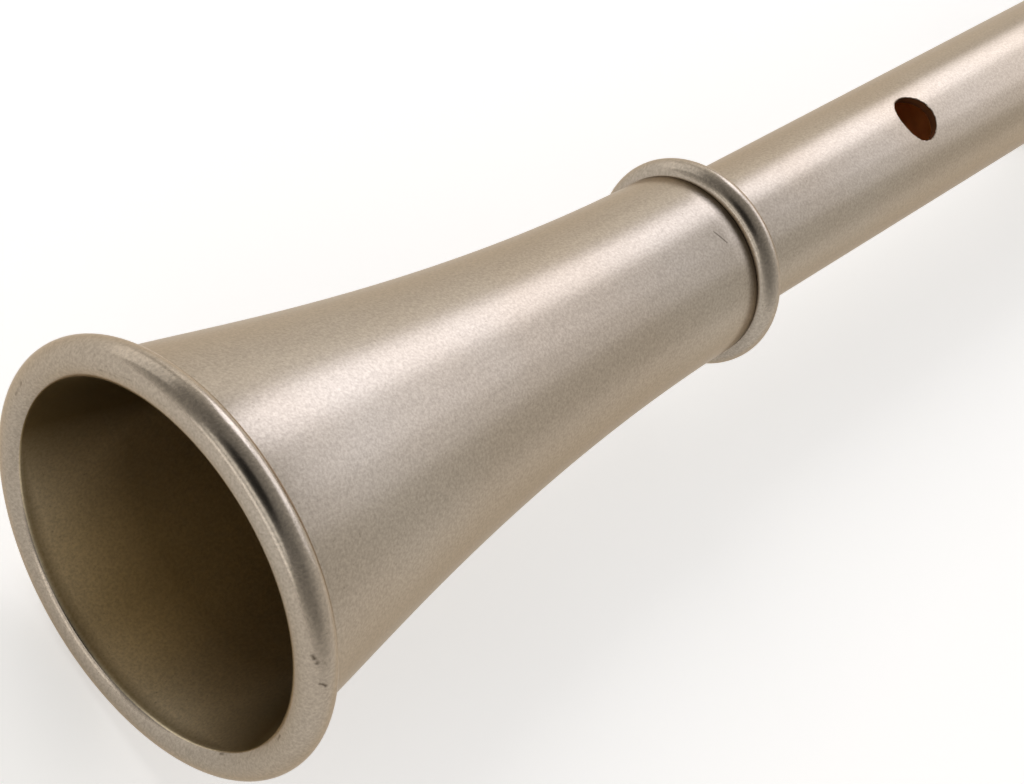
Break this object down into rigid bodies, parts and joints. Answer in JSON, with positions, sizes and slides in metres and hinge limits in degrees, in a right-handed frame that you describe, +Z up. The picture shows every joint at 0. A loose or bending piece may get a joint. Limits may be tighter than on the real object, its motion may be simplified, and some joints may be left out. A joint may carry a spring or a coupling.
{
  "type": "pocket saxophone",
  "caption": "Straight metal reed instrument with drilled finger holes, a flared bell with a beaded rim, and a mouthpiece that slides on a corked tenon.",
  "frame": {"origin": "on the surface that the instrument lies on, below the middle of its box", "axes": "+X along the tube, from the bell mouth to the mouthpiece tip; +Z up, the way the finger holes face; +Y to the player's right"},
  "size_m": [0.3822, 0.0442, 0.0442],
  "materials": {
    "satin_nickel": "bead-blasted brass under a satin champagne nickel plate",
    "lacquered_brass": "polished and lacquered brass sheet",
    "ebonite": "black hard rubber, turned and polished",
    "cane": "cut cane, with its bark at the heel",
    "cork": "sheet cork, greased"
  },
  "bodies": {
    "body": {"body_tube": "satin_nickel", "bell": "satin_nickel", "collar_ring": "satin_nickel", "tube_end_ring": "satin_nickel", "tenon": "satin_nickel", "tenon_cork": "cork", "thumb_hook_plate": "satin_nickel", "thumb_hook": "satin_nickel", "strap_lug": "satin_nickel"},
    "mouthpiece": {"mouthpiece": "ebonite", "mouthpiece_ring": "satin_nickel"},
    "reed": {"reed": "cane"},
    "ligature": {"ligature_band": "lacquered_brass", "ligature_post_plain_back": "lacquered_brass", "ligature_post_threaded_back": "lacquered_brass", "ligature_post_plain_front": "lacquered_brass", "ligature_post_threaded_front": "lacquered_brass"},
    "ligature_screw_back": {"ligature_screw_back": "lacquered_brass"},
    "ligature_screw_front": {"ligature_screw_front": "lacquered_brass"},
    "strap_ring": {"strap_ring": "satin_nickel"}
  },
  "joints": [
    {"name": "mouthpiece_tuning_slide", "type": "slide", "parent": "body", "child": "mouthpiece", "axis": [1, 0, 0], "range_m": [-0.0025, 0.008]},
    {"name": "reed_slide", "type": "slide", "parent": "mouthpiece", "child": "reed", "axis": [0.9996, 0, 0.0299], "range_m": [-0.0015, 0.0015]},
    {"name": "ligature_slide", "type": "slide", "parent": "mouthpiece", "child": "ligature", "axis": [1, 0, 0], "range_m": [0, 0.014]},
    {"name": "ligature_screw_back_turn", "type": "hinge", "parent": "ligature", "child": "ligature_screw_back", "pos_m": [0.13515, 0, 0.00758], "axis": [0, 1, 0], "range_deg": [0, 1080]},
    {"name": "ligature_screw_front_turn", "type": "hinge", "parent": "ligature", "child": "ligature_screw_front", "pos_m": [0.14715, 0, 0.00794], "axis": [0, 1, 0], "range_deg": [0, 1080]},
    {"name": "strap_ring_swing", "type": "hinge", "parent": "body", "child": "strap_ring", "pos_m": [0.03085, 0, 0.0102], "axis": [0, 1, 0], "range_deg": [-85, 85]}
  ]
}
